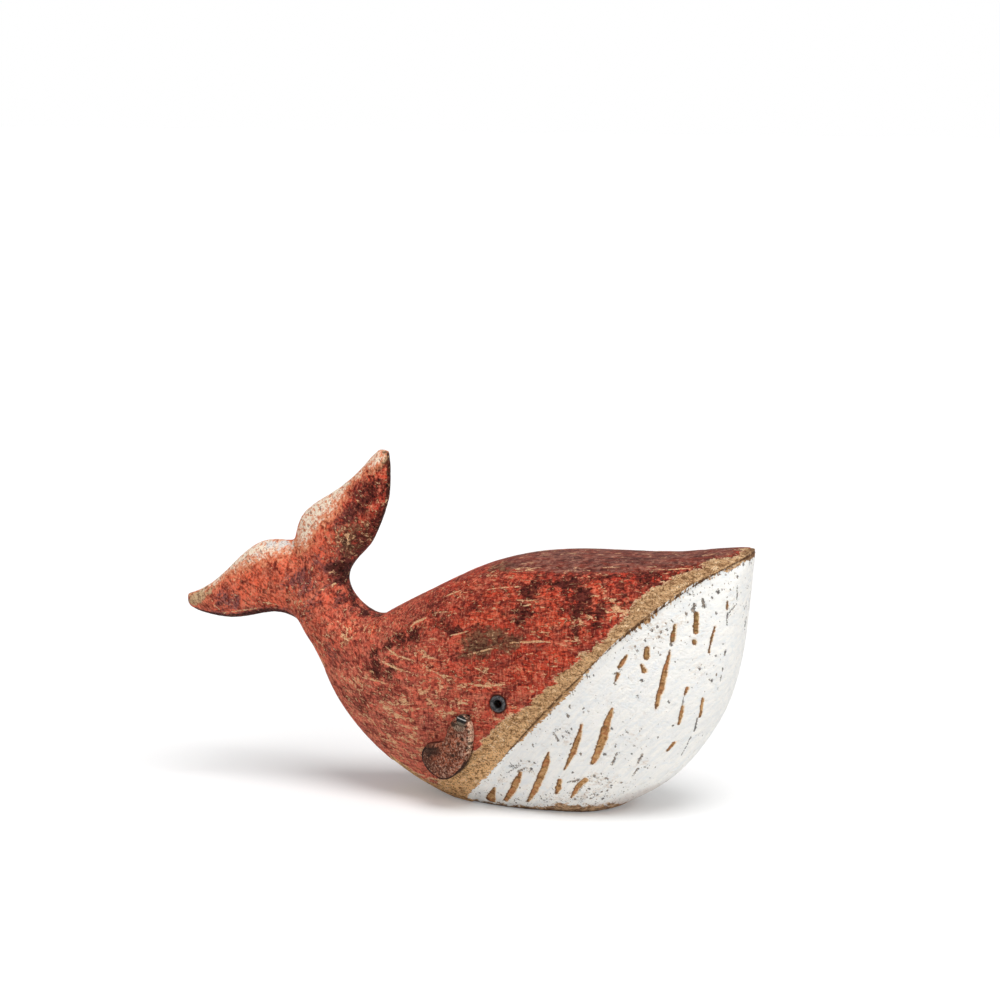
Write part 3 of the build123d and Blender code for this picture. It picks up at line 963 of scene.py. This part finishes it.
def stained(wood, red):
    """Red paint with dark blooms of staining and painted shade, greyer on the tail, its dark back and olive
    patches.
    """
    # Staining, and painted shade along and under the flukes, darken the red
    stain = wood.stain * 1.15 + (wood.uneven * 2.4 + (wood.rust - 0.5) * 2.4)
    stain = (stain - wood.bright * 0.45).step(0.16, 0.74)
    body_tone = wood.fine.between((18, 8, 7), (92, 40, 36))
    tail_tone = wood.fine.between((60, 32, 36), (158, 98, 94))
    moss = (wood.olive + wood.uneven * 2).step(0.3, 0.85)
    return red.coats(
        (stain * 0.9, wood.tailward.between(body_tone, tail_tone)),
        ((wood.top + wood.uneven * 1.2).step(0.1, 0.9, 0.9), back_paint(wood)),
        (moss * 0.85, wood.rust.step(0.42, 0.56).between((44, 28, 22), (124, 92, 68))),
    )


def rubbed(wood, red):
    """The flukes' edges, rubbed to peach and cream, an ash-grey rim, both partly painted highlight,
    yellowed tips and painted shade in the hollows.
    """
    rub_and_highlight = wood.pale + (wood.uneven * 1.7 + (wood.craze - 0.5) * 0.7)
    ash_and_highlight = (wood.ash + wood.uneven * 1.2).step(0.4, 0.8)
    yellowed = (wood.ochre + wood.uneven * 1.6).step(0.3, 0.8)
    shaded = (wood.shaded + wood.uneven * 1.6).step(0.2, 0.8)
    return red.coats(
        # Rubbed paint, partly a painted highlight, along the flukes' lit edges
        (rub_and_highlight.step(0.15, 0.5, 0.85), wood.fine.between((216, 112, 78), (240, 164, 122))),
        (rub_and_highlight.step(0.48, 0.85, 0.95), wood.rust.step(0.41, 0.51).between((222, 148, 112), (254, 238, 216))),
        (ash_and_highlight * 0.9, wood.grit.step(0.45, 0.35).between((230, 226, 222), (150, 140, 134))),
        (yellowed * 0.85, wood.rust.step(0.42, 0.5).between((112, 88, 66), (206, 176, 136))),
        # Painted shade, nearly black, in the saddle, along the upper fluke's front edge and under the
        # flukes
        (shaded * 0.85, wood.fine.between((22, 10, 9), (70, 34, 28))),
    )


def chips(wood):
    """Flecks and fine hairs where the paint is worn, and the placed scratches, down to the primer."""
    faded = wood.fade * wood.tailward.step(0, 1, 0.01, start=0.035)
    fleck = (wood.rust + (faded + wood.worn * 0.15)).step(0.615, 0.66) * wood.top.step(0.7, 0.1, start=0.15)
    hair = wood.grain.noise((4.5, 0.7, 2.5), 3, 0.6, 0.4).step(0.60, 0.65)
    hair = hair * (wood.mottle + wood.worn * 0.12).step(0.50, 0.58)
    hair = hair * wood.tailward.step(0, 0.6, 0.2, start=1)
    flaking = hair.most(fleck) * wood.stain.step(0.3, 1, 0.6, start=1)
    scored = (wood.scratch + ((wood.fine - 0.5) * 0.3 + wood.uneven * 0.6)).step(0.03, -0.13)
    return (flaking * 0.85).most(scored * 0.92)


def chipped(wood, red):
    """Red paint with dark hairs, its chips, dirt round the eyes and painted shade round the fins."""
    dark_hair = wood.grain.moved((9, 27, 4)).noise((3.2, 0.55, 2), 3, 0.6, 0.6)
    # Dirt round the eyes and painted shade round the lower parts of the fins
    dirt = (wood.halo + wood.uneven * 1.2).step(0.45, 0.9)
    return red.coats(
        (dark_hair.step(0.585, 0.64, 0.6), (74, 32, 27)),
        (wood.chips, wood.grit.step(0.42, 0.56).between((206, 150, 104), (240, 198, 154))),
        (dirt * 0.7, (62, 32, 28)),
    )


def bared(wood, red):
    """Paint lost along the mouth: a broken cream edge, then wood, and dirt and painted shade in the step.
    """
    broken = wood.edge.step(0.7, 0.3) * wood.rust.step(0.46, 0.54)
    crevice = (wood.mouth - 0.3).maths("ABSOLUTE").step(0.65, 0.15)
    soiled_and_shaded = (wood.mottle + wood.uneven * 0.6).step(0.37, 0.48) * wood.height.step(12, 24)
    return red.coats(
        (broken * 0.8, (240, 208, 164)),
        (wood.lost, bare_wood(wood)),
        # Dirt round the eyes and painted shade round the fins, over paint and bare wood alike
        (wood.halo.step(0.6, 0.95, 0.7), (58, 34, 26)),
        # Dirt and painted shade in the step at the mouth line
        (crevice * soiled_and_shaded * 0.85, (70, 46, 34)),
    )


def pits(wood):
    """Holes and dots in the white paint, thickest at its edges, and the placed nicks and pits."""
    density = wood.pitted * 0.13 + wood.near_lip * 0.065
    hole = wood.place.moved((40, 11, 23)).noise((1.7, 1.7, 2.3), 4, 0.7, 0.8)
    hole = (hole + density * 0.6).step(0.685, 0.715)
    push = wood.place.noise(0.8, 2, 0.6, output="Color").scaled((0.9, 0.9, 1.4))
    pushed = wood.place.moved(push)
    small = pushed.dots((0.85, 0.85, 1.1), density * 5 + 0.015)
    large = pushed.moved((7, 19, 5)).dots((1.6, 1.6, 2.2), density * 2.6 + 0.015)
    nick = (wood.nick + (wood.uneven + (wood.grit - 0.5) * 1.6)).step(0.06, -0.10)
    return hole.most(small).most(large).most(nick)


def cut_wood(wood, hollow):
    """Raw wood in the gouges, greenish up at the snout, with painted shade on one side of each cut."""
    return wood.streak.between((206, 160, 108), (172, 128, 84)).coats(
        (wood.height.step(50, 64, 0.75), wood.fine.between((104, 84, 52), (160, 130, 84))),
        (wood.rust.step(0.48, 0.40, 0.85), (118, 82, 54)),
        (wood.rust.step(0.55, 0.62, 0.6), (228, 190, 142)),
        (wood.mottle.step(0.5, 0.6, 0.6), (192, 120, 80)),
        # Painted shade on one side of each cut
        (hollow.step(-0.3, 0.15, 0.85), (96, 66, 44)),
    )


def white_throat(wood):
    """White paint, faintly brushed along the mouth, pitted, soiled at its foot, and gouged, with painted
    shade under the jaw and at the floor, and a painted highlight by each gouge.
    """
    pit_tone = (wood.grit + wood.uneven * 0.8).step(0.42, 0.6).between((48, 42, 38), (150, 126, 104))
    smudge = wood.place.moved((9, 9, 9)).noise(4.5, 3, 0.6).step(0.60, 0.72) * wood.near_lip
    grime = (wood.rust + wood.pitted * 0.09).step(0.56, 0.66) * wood.pitted.step(0.1, 0.5)
    foot = wood.height + (wood.uneven * 9 + wood.rim * -2.4)
    foot_wood = wood.rust.step(0.42, 0.58).between((134, 102, 76), (212, 174, 136))
    groove = wood.gouge + (wood.uneven * 1.3 + (wood.grit - 0.5) * 0.8)
    hollow = wood.hollow + wood.uneven * 1.3
    return wood.sweep.between((238, 238, 236), (252, 249, 243)).coats(
        (wood.mottle.step(0.52, 0.66, 0.45), (228, 233, 236)),
        (wood.wear.step(0.42, 0.34, 0.45), (212, 204, 194)),
        (wood.pits * 0.85, pit_tone),
        (smudge * 0.3, (214, 180, 146)),
        (grime * 0.4, (204, 180, 156)),
        # Painted shade on the underside of the jaw, in a greyish tone
        ((wood.under + wood.uneven * 0.8).step(0.3, 0.9, 0.35), (190, 168, 158)),
        (foot.step(1.5, 0.9), foot_wood),
        # Painted shadow along the bottom edge, where the throat meets the floor
        ((wood.height + wood.uneven * 3).step(1.3, 0.5, 0.75), (84, 64, 48)),
        (groove.step(0.5, 0.15, 0.25), (228, 200, 168)),
        # Painted highlight on the lit lip of each gouge
        (hollow.step(0.1, -0.2, 0.75), (250, 222, 186)),
        (groove.step(0.08, -0.08), cut_wood(wood, hollow)),
    )


def painted_wood(field_names):
    """Red paint over bare wood, and a white throat."""
    wood = Material("painted_wood")
    for name in field_names:
        setattr(wood, name, wood.attribute(name, "Vector" if name in ("grain", "brush") else "Fac"))
    wood.height = wood.place.part(2)
    wood.cloud = wood.grain.moved((19, 61, 2)).noise((7, 4, 7), 4, 0.6, 0.5)
    wood.patch = wood.grain.noise((10, 4.5, 10), 4, 0.62, 0.8).step(0.36, 0.64)
    wood.mottle = wood.grain.moved((31, 7, 3)).noise((4.6, 2.4, 4.6), 4, 0.65, 1)
    wood.wear = wood.grain.noise((2.6, 1.6, 2.6), 5, 0.72, 0.6)
    wood.rust = wood.grain.moved((5, 50, 9)).noise((1.7, 1.1, 1.7), 5, 0.7, 0.6)
    wood.fine = wood.grain.noise((1.5, 0.75, 1.5), 3, 0.6).step(0.32, 0.68)
    wood.craze = wood.place.noise((0.7, 0.9, 2.8), 3, 0.65, 0.3)
    wood.grit = wood.place.noise(0.45, 2, 0.6)
    wood.streak = wood.grain.noise((14, 0.9, 3), 4, 0.6, 0.3).step(0.35, 0.65)
    wood.sweep = wood.brush.noise((9, 1.1, 3), 4, 0.6, 0.4).step(0.3, 0.7)
    wood.uneven = wood.wear - 0.5
    wood.near_lip = wood.lip.step(-5, 0).most(wood.height.step(18, 5))
    wood.edge = wood.bare + wood.uneven * 5
    wood.lost = wood.edge.step(0.25, -0.25)
    wood.chips = chips(wood)
    wood.pits = pits(wood)

    upper = bared(wood, chipped(wood, rubbed(wood, stained(wood, red_paint(wood)))))
    below = (wood.lip + ((wood.fine - 0.5) * 0.7 + wood.uneven * 2.4)).step(0.12, -0.12)
    colour = below.between(upper, white_throat(wood))
    relief = wood.wear.step(0.32, 0.68, 0.6) + wood.fine * 0.25 + (wood.grit * 0.15 + wood.sweep * 0.1)
    relief = relief - wood.lost.most(wood.pits) * 0.6 - wood.chips * 0.2
    roughness = wood.wear.step(0.32, 0.68, 0.85, start=0.65)
    return wood.finish(colour, roughness, relief.bump(0.0005, 0.6), specular=0.05)


# Materials of the fins and the trim


def fin_wood():
    """Dark stained wood, reddish in the middle, darker in the lobe, with painted shade in its scoop and
    along its lower edges and a painted highlight up its right edge.
    """
    wood = Material("fin_wood")
    lump = wood.place.noise((2.4, 2.4, 3.2), 5, 0.7, 0.8)
    fine = wood.place.moved((3, 9, 4)).noise((0.8, 0.8, 0.9), 3, 0.65)
    grit = wood.place.moved((7, 1, 5)).noise(0.5, 2, 0.6)
    uneven = (lump - 0.5) * 2
    lobe = wood.attribute("lobe")
    crest = wood.attribute("crest")
    pale = fine + (crest * 0.07 + wood.attribute("rough") * 0.035) - lobe * 0.05
    domed = (wood.attribute("dome") + uneven * 0.6).step(0.3, 0.7, 0.85)
    spotted = (wood.attribute("spots") + uneven * 0.6).step(0.35, 0.65)
    # Painted shade in the scooped hollow of the lobe
    scoop_shade = (wood.attribute("scoop") + uneven * 1.4).step(0.3, 0.8)
    # Painted shade along the lower edges
    edge = (wood.attribute("wall") + uneven * 0.8).step(0.25, 0.6)
    colour = lump.step(0.42, 0.58).between((112, 66, 50), (172, 94, 66)).coats(
        ((lobe + uneven).step(0.3, 1.3) * 0.9, fine.between((34, 22, 17), (92, 66, 52))),
        (fine.step(0.47, 0.39, 0.8), (46, 25, 20)),
        # Pale flecks, more of them along the upper right edge as chips and a painted highlight
        (pale.step(0.56, 0.63, 0.75), crest.between((200, 160, 138), (240, 208, 178))),
        (grit.step(0.43, 0.35, 0.85), (30, 16, 12)),
        ((grit + crest * 0.03).step(0.58, 0.66, 0.55), (212, 168, 142)),
        (domed, grit.step(0.42, 0.56).between((70, 56, 47), (160, 140, 120))),
        (spotted * 0.85, fine.between((20, 13, 10), (74, 54, 42))),
        (scoop_shade * 0.8, fine.between((14, 9, 7), (60, 43, 35))),
        (edge * 0.9, (26, 14, 11)),
    )
    return wood.finish(colour, 0.65, (lump + fine * 0.6).bump(0.0008, 0.9), specular=0.1)


def tack_iron():
    """Black forged iron, with a painted highlight in a band under its crown."""
    iron = Material("tack_metal")
    cloud = iron.place.noise((1.6, 1.6, 0.5), 4, 0.65)
    uneven = (cloud - 0.5) * 1.6
    rusted = (iron.attribute("rusted") + uneven).step(0.5, 0.9)
    painted_glint = (iron.attribute("painted_glint") + uneven * 0.6).step(0.45, 0.7)
    colour = cloud.step(0.45, 0.6).between((12, 11, 11), (40, 34, 31)).coats(
        (rusted * 0.7, (132, 118, 100)),
        # Painted highlight
        (painted_glint * 0.9, (188, 184, 178)),
    )
    roughness = cloud.step(0.35, 0.65, 0.6, start=0.45)
    return iron.finish(colour, roughness, cloud.bump(0.0002, 0.6), specular=0.15)


def eyelet_steel():
    """Dark steel, greyer where it is worn."""
    steel = Material("eyelet_metal")
    cloud = steel.place.noise(0.9, 4, 0.65)
    colour = cloud.step(0.42, 0.62).between((30, 30, 32), (88, 86, 87))
    roughness = cloud.step(0.35, 0.65, 0.65, start=0.45)
    return steel.finish(colour, roughness, cloud.bump(0.0002, 0.5), specular=0.5, metallic=0.6)


def dowel_wood():
    wood = Material("dowel_wood")
    streak = wood.place.noise((0.7, 0.7, 9), 4, 0.6)
    colour = streak.step(0.35, 0.65).between((204, 168, 118), (170, 130, 84))
    return wood.finish(colour, 0.7, streak.bump(0.0003, 0.4), specular=0.3)


# Pieces

# Sizes of the voxels in mm
BLOCK_VOXEL = 0.42
FIN_VOXEL = 0.22
TACK_VOXEL = 0.1

# Dark spots on the fins: place in the side view and radius
FIN_DARKS = [
    (10.2, 35.0, 1.5), (12.0, 34.4, 1.1), (7.2, 31.2, 1.1), (8.8, 33.8, 0.8), (12.6, 33.0, 0.7),
    (12.0, 31.0, 0.7), (13.2, 29.2, 0.7), (12.6, 27.0, 0.6), (13.2, 25.0, 0.7), (12.4, 23.4, 0.8),
    (9.0, 24.6, 0.8), (6.6, 20.0, 0.9), (10.6, 26.2, 0.7),
]

# Where a tack's head sits in the side view, as in the CAD source, and how far out it starts, in mm
TACK_X = 10.6
TACK_Z = 32.9
TACK_OUT = 30


def spot(co, x, z, x_radius, z_radius):
    """A soft spot of the side view, 1 in its middle."""
    return np.exp(-(((co[:, 0] - x) / x_radius) ** 2 + ((co[:, 2] - z) / z_radius) ** 2))


def shape_fin(fin):
    """Roughens a fin's broad faces, scoops its lobe and gives it the fields of its material."""
    co = coordinates(fin)
    n = normals(fin)
    x, z = co[:, 0], co[:, 2]
    broad = np.abs(n[:, 1])
    scoop = spot(co, -1.6, 20.8, 3.2, 2.3)
    depth = 0.5 * fractal(co, 2, 51, 3) + 0.2 * fractal(co, 0.7, 52, 2) + 0.9 * scoop
    write_coordinates(fin, co - n * (depth * ramp(broad, 0, 0.4) + 0.02)[:, None])
    facing = (n[:, 0] + n[:, 2]) * 0.7
    low = ramp(z, 25, 20)
    lower_wall = np.maximum(ramp(facing, 0.3, -0.2) * (0.3 + 0.7 * low), low * ramp(z, 22, 15))
    crest = ramp(z, 17, 22) * ramp(facing, -0.2, 0.3) * ramp(broad, 0.97, 0.82) * ramp(x, 7, 10)
    write_attributes(fin, {
        "lobe": ramp(x, 1.5, -3.5),
        # Painted shade in the scooped lobe
        "scoop": 1.3 * scoop * ramp(broad, 0.3, 0.7),
        "spots": np.max([spot(co, *place, radius, radius) for *place, radius in FIN_DARKS], axis=0),
        # Painted shade on the edges that face down and left, and low on the fin
        "wall": ramp(broad, 0.75, 0.3) * lower_wall,
        # Chips and a painted highlight on the edges that face up and right
        "crest": crest * (0.6 + 0.8 * fractal(co, 1.5, 53, 3)),
        "rough": ramp(z, 21, 14) + ramp(x, 5, 10),
        "dome": spot(co, 9.6, 30.4, 2.6, 1.9),
    })


def shape_tack(tack):
    """Dents a tack's head and gives it the fields of its material."""
    co = coordinates(tack)
    n = normals(tack)
    dents = 0.35 * fractal(co, 1.3, 61, 2) * ramp(np.abs(co[:, 1]), TACK_OUT, TACK_OUT + 1)
    write_coordinates(tack, co - n * (dents + 0.01)[:, None])
    up = co[:, 2] - TACK_Z + 0.3 * (co[:, 0] - TACK_X)
    # A painted highlight in a band just under the crown
    painted_glint = ramp(up, 0.3, 0.45) * ramp(up, 0.9, 0.75)
    write_attributes(tack, {"painted_glint": painted_glint, "rusted": ramp(up, -0.5, -0.9)})


def place_piece(piece, material, node):
    """Lets a finished piece stand for its CAD node, in its material."""
    piece.data.materials.append(material)
    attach(piece, "root")
    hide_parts(node)


block = remeshed("block", whole_block(), BLOCK_VOXEL)
paint = painted_wood(carve(block))
for name, node, sign in (("whale_body", "body", 1), ("whale_tail", "tail", -1)):
    place_piece(cut_at_seam(block, name, sign), paint, node)
bpy.data.objects.remove(block)

fin_material = fin_wood()
for side in ("right", "left"):
    fin = remeshed("side_fin_" + side, merged("fin_" + side), FIN_VOXEL)
    shape_fin(fin)
    place_piece(fin, fin_material, "fin_" + side)

tack_material = tack_iron()
for side in ("right", "left"):
    tack = remeshed("fin_tack_" + side, merged("fin_nail_" + side), TACK_VOXEL)
    shape_tack(tack)
    place_piece(tack, tack_material, "fin_nail_" + side)

eyelet_material = eyelet_steel()
for node, material in (
    ("eye_right", eyelet_material),
    ("eye_left", eyelet_material),
    ("tail_dowel", dowel_wood()),
):
    cad_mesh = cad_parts[node].data
    cad_mesh.materials.clear()
    cad_mesh.materials.append(material)

# Floor, lamps and world

# Metres from the middle, how pale the floor is, and how strongly it and the world glow
FLOOR_REACH = 6
FLOOR_GREY = 0.85
FLOOR_GLOW = 0.17
STUDIO_LIGHT = 0.31
WHITE = (1, 1, 1, 1)


def seen_ray(tree):
    """1 for a ray from the camera, or off or through a glossy surface, and 0 for a ray of light."""
    rays = ("Is Camera Ray", "Is Glossy Ray", "Is Transmission Ray")
    camera_ray, glossy, through = (Value(new_node(tree, "LightPath"), ray) for ray in rays)
    return camera_ray.most(glossy).most(through)


def floor_paint():
    """Matt pale grey that glows a little towards the camera, so that it meets the background."""
    material = bpy.data.materials.new("floor_white")
    tree = cleared_tree(material)
    diffuse = new_node(tree, "BsdfDiffuse", {0: (FLOOR_GREY, FLOOR_GREY, FLOOR_GREY, 1)})
    glow = new_node(tree, "Emission", {0: WHITE, 1: seen_ray(tree) * FLOOR_GLOW})
    both = new_node(tree, "AddShader", {0: Value(diffuse), 1: Value(glow)})
    new_node(tree, "OutputMaterial", {0: Value(both)})
    return material


def lamp(name, direction, strength, softness):
    """A broad, even light from one direction."""
    data = bpy.data.lights.new(name, "SUN")
    data.energy = strength
    data.angle = math.radians(softness)
    obj = bpy.data.objects.new(name, data)
    obj.rotation_euler = Vector(direction).to_track_quat("Z", "Y").to_euler()
    bpy.context.scene.collection.objects.link(obj)


corners = [(x * FLOOR_REACH, y * FLOOR_REACH, 0) for x, y in ((-1, -1), (1, -1), (1, 1), (-1, 1))]
floor_mesh = bpy.data.meshes.new("floor")
floor_mesh.from_pydata(corners, [], [(0, 1, 2, 3)])
floor_mesh.materials.append(floor_paint())
floor = bpy.data.objects.new("floor", floor_mesh)
bpy.context.scene.collection.objects.link(floor)

# The world is white where it is seen, and lights the object less
world = bpy.data.worlds.new("studio")
bpy.context.scene.world = world
sky = cleared_tree(world)
brightness = Value(new_node(sky, "MapRange", {0: seen_ray(sky), 3: STUDIO_LIGHT, 4: 1}))
background = new_node(sky, "Background", {0: WHITE, 1: brightness})
new_node(sky, "OutputWorld", {0: Value(background)})

lamp("softbox_top", (0.24, -0.25, 1.0), 2.05, 37)
lamp("softbox_front", (0.4, -1.0, 0.25), 0.5, 80)
lamp("softbox_right", (1.0, -0.4, 0.25), 1.0, 60)

bpy.context.scene.view_settings.view_transform = "Standard"
